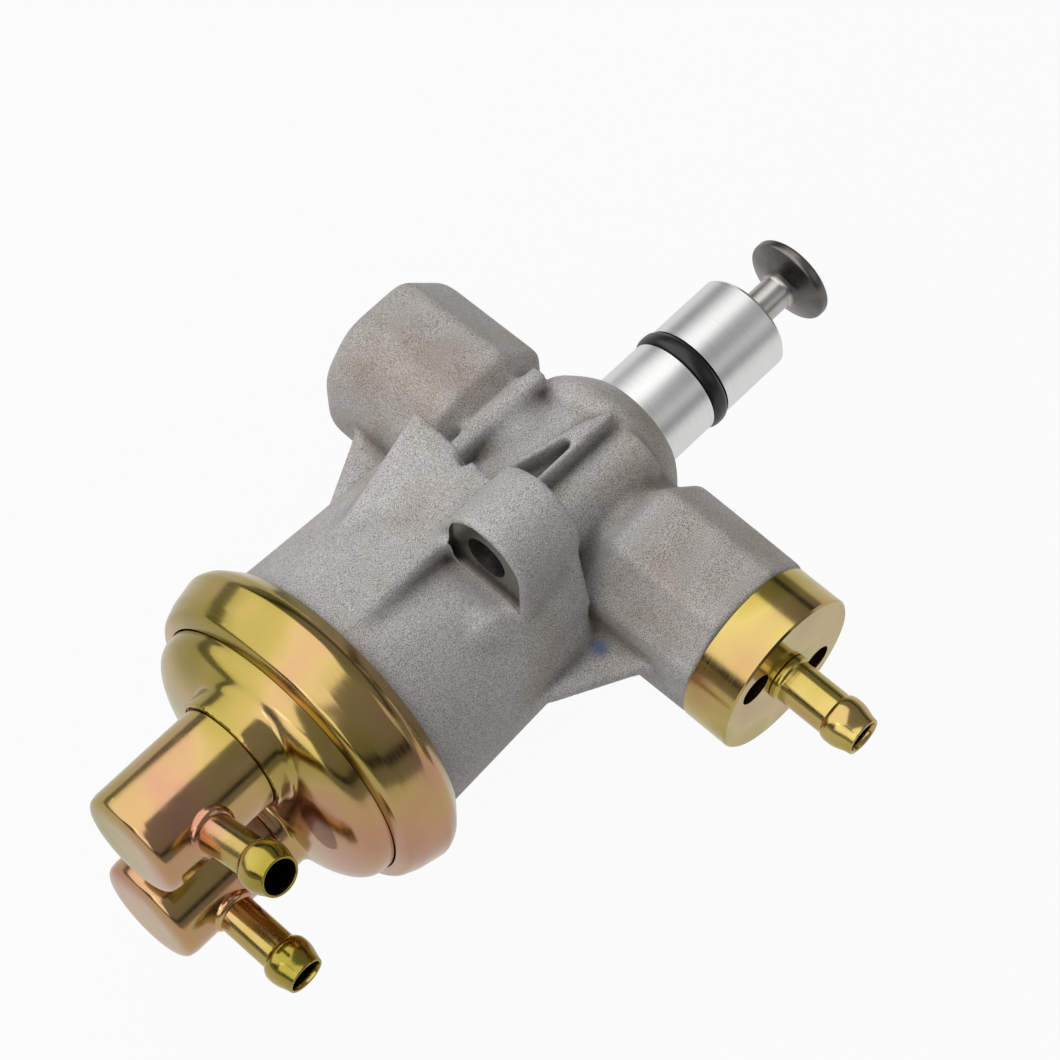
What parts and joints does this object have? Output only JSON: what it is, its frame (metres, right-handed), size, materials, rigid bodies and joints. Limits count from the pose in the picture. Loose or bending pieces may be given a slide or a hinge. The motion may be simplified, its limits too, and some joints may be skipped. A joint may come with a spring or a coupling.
{
  "type": "fuel_lift_pump",
  "caption": "Cam-driven tandem fuel lift pump: cast body with two bolt ears, tappet in a ringed guide, gold-plated diaphragm cover with valve cans, hose tubes and a suction plug",
  "frame": {"origin": "where the tappet's axis meets the plane of the two mounting ears", "axes": "+X along the tappet towards the cam, +Z to the side of the near ear, -Y to the suction plug"},
  "size_m": [0.2181, 0.153, 0.0996],
  "materials": {
    "cast_aluminium": "shot-blasted",
    "turned_aluminium": "turned",
    "zinc_steel": "yellow zinc plated",
    "hardened_steel": "black oxide",
    "bare_steel": "turned",
    "spring_steel": "drawn",
    "bronze": "sintered",
    "black_rubber": "oiled",
    "coated_cloth": "matte",
    "seal_plastic": "matte"
  },
  "bodies": {
    "pump_body": {"pump_housing": "cast_aluminium", "tappet_guide": "turned_aluminium", "guide_ring": "black_rubber", "guide_bush": "bronze", "stem_seal": "black_rubber", "rod_bush": "bronze", "rod_seal": "black_rubber", "clamp_ring": "zinc_steel", "valve_cover": "zinc_steel", "spring_seat": "bare_steel", "inlet_can": "zinc_steel", "outlet_can": "zinc_steel", "inlet_tube": "zinc_steel", "outlet_tube": "zinc_steel", "suction_plug": "zinc_steel", "suction_tube": "zinc_steel", "plug_seal": "black_rubber", "diaphragm": "coated_cloth", "return_spring": "spring_steel", "inlet_valve_seat": "bare_steel", "inlet_valve_rivet": "bare_steel", "inlet_valve_spring": "spring_steel", "outlet_valve_seat": "bare_steel", "outlet_valve_rivet": "bare_steel", "outlet_valve_spring": "spring_steel", "suction_valve_seat": "bare_steel", "suction_valve_rivet": "bare_steel", "suction_valve_spring": "spring_steel", "pressure_valve_seat": "bare_steel", "pressure_valve_rivet": "bare_steel", "pressure_valve_spring": "spring_steel"},
    "plunger": {"tappet": "hardened_steel", "piston": "bare_steel", "piston_seal": "seal_plastic", "piston_rod": "bare_steel", "spring_retainer": "bare_steel", "diaphragm_back_plate": "bare_steel", "diaphragm_front_plate": "bare_steel", "diaphragm_nut": "bare_steel"},
    "inlet_disc": {"inlet_valve_disc": "seal_plastic"},
    "outlet_disc": {"outlet_valve_disc": "seal_plastic"},
    "suction_disc": {"suction_valve_disc": "seal_plastic"},
    "pressure_disc": {"pressure_valve_disc": "seal_plastic"}
  },
  "joints": [
    {"name": "plunger_slide", "type": "slide", "parent": "pump_body", "child": "plunger", "axis": [1, 0, 0], "range_m": [-0.006, 0], "stiffness_N_per_m": 3000, "springref_m": 0.01, "deforming": ["return_spring", "diaphragm"]},
    {"name": "inlet_valve_lift", "type": "slide", "parent": "pump_body", "child": "inlet_disc", "axis": [1, 0, 0], "range_m": [0, 0.0012], "stiffness_N_per_m": 100, "springref_m": -0.002, "deforming": ["inlet_valve_spring"]},
    {"name": "outlet_valve_lift", "type": "slide", "parent": "pump_body", "child": "outlet_disc", "axis": [-1, 0, 0], "range_m": [0, 0.0012], "stiffness_N_per_m": 100, "springref_m": -0.002, "deforming": ["outlet_valve_spring"]},
    {"name": "suction_valve_lift", "type": "slide", "parent": "pump_body", "child": "suction_disc", "axis": [0, 1, 0], "range_m": [0, 0.0012], "stiffness_N_per_m": 100, "springref_m": -0.002, "deforming": ["suction_valve_spring"]},
    {"name": "pressure_valve_lift", "type": "slide", "parent": "pump_body", "child": "pressure_disc", "axis": [0, 1, 0], "range_m": [0, 0.0012], "stiffness_N_per_m": 100, "springref_m": -0.002, "deforming": ["pressure_valve_spring"]}
  ]
}
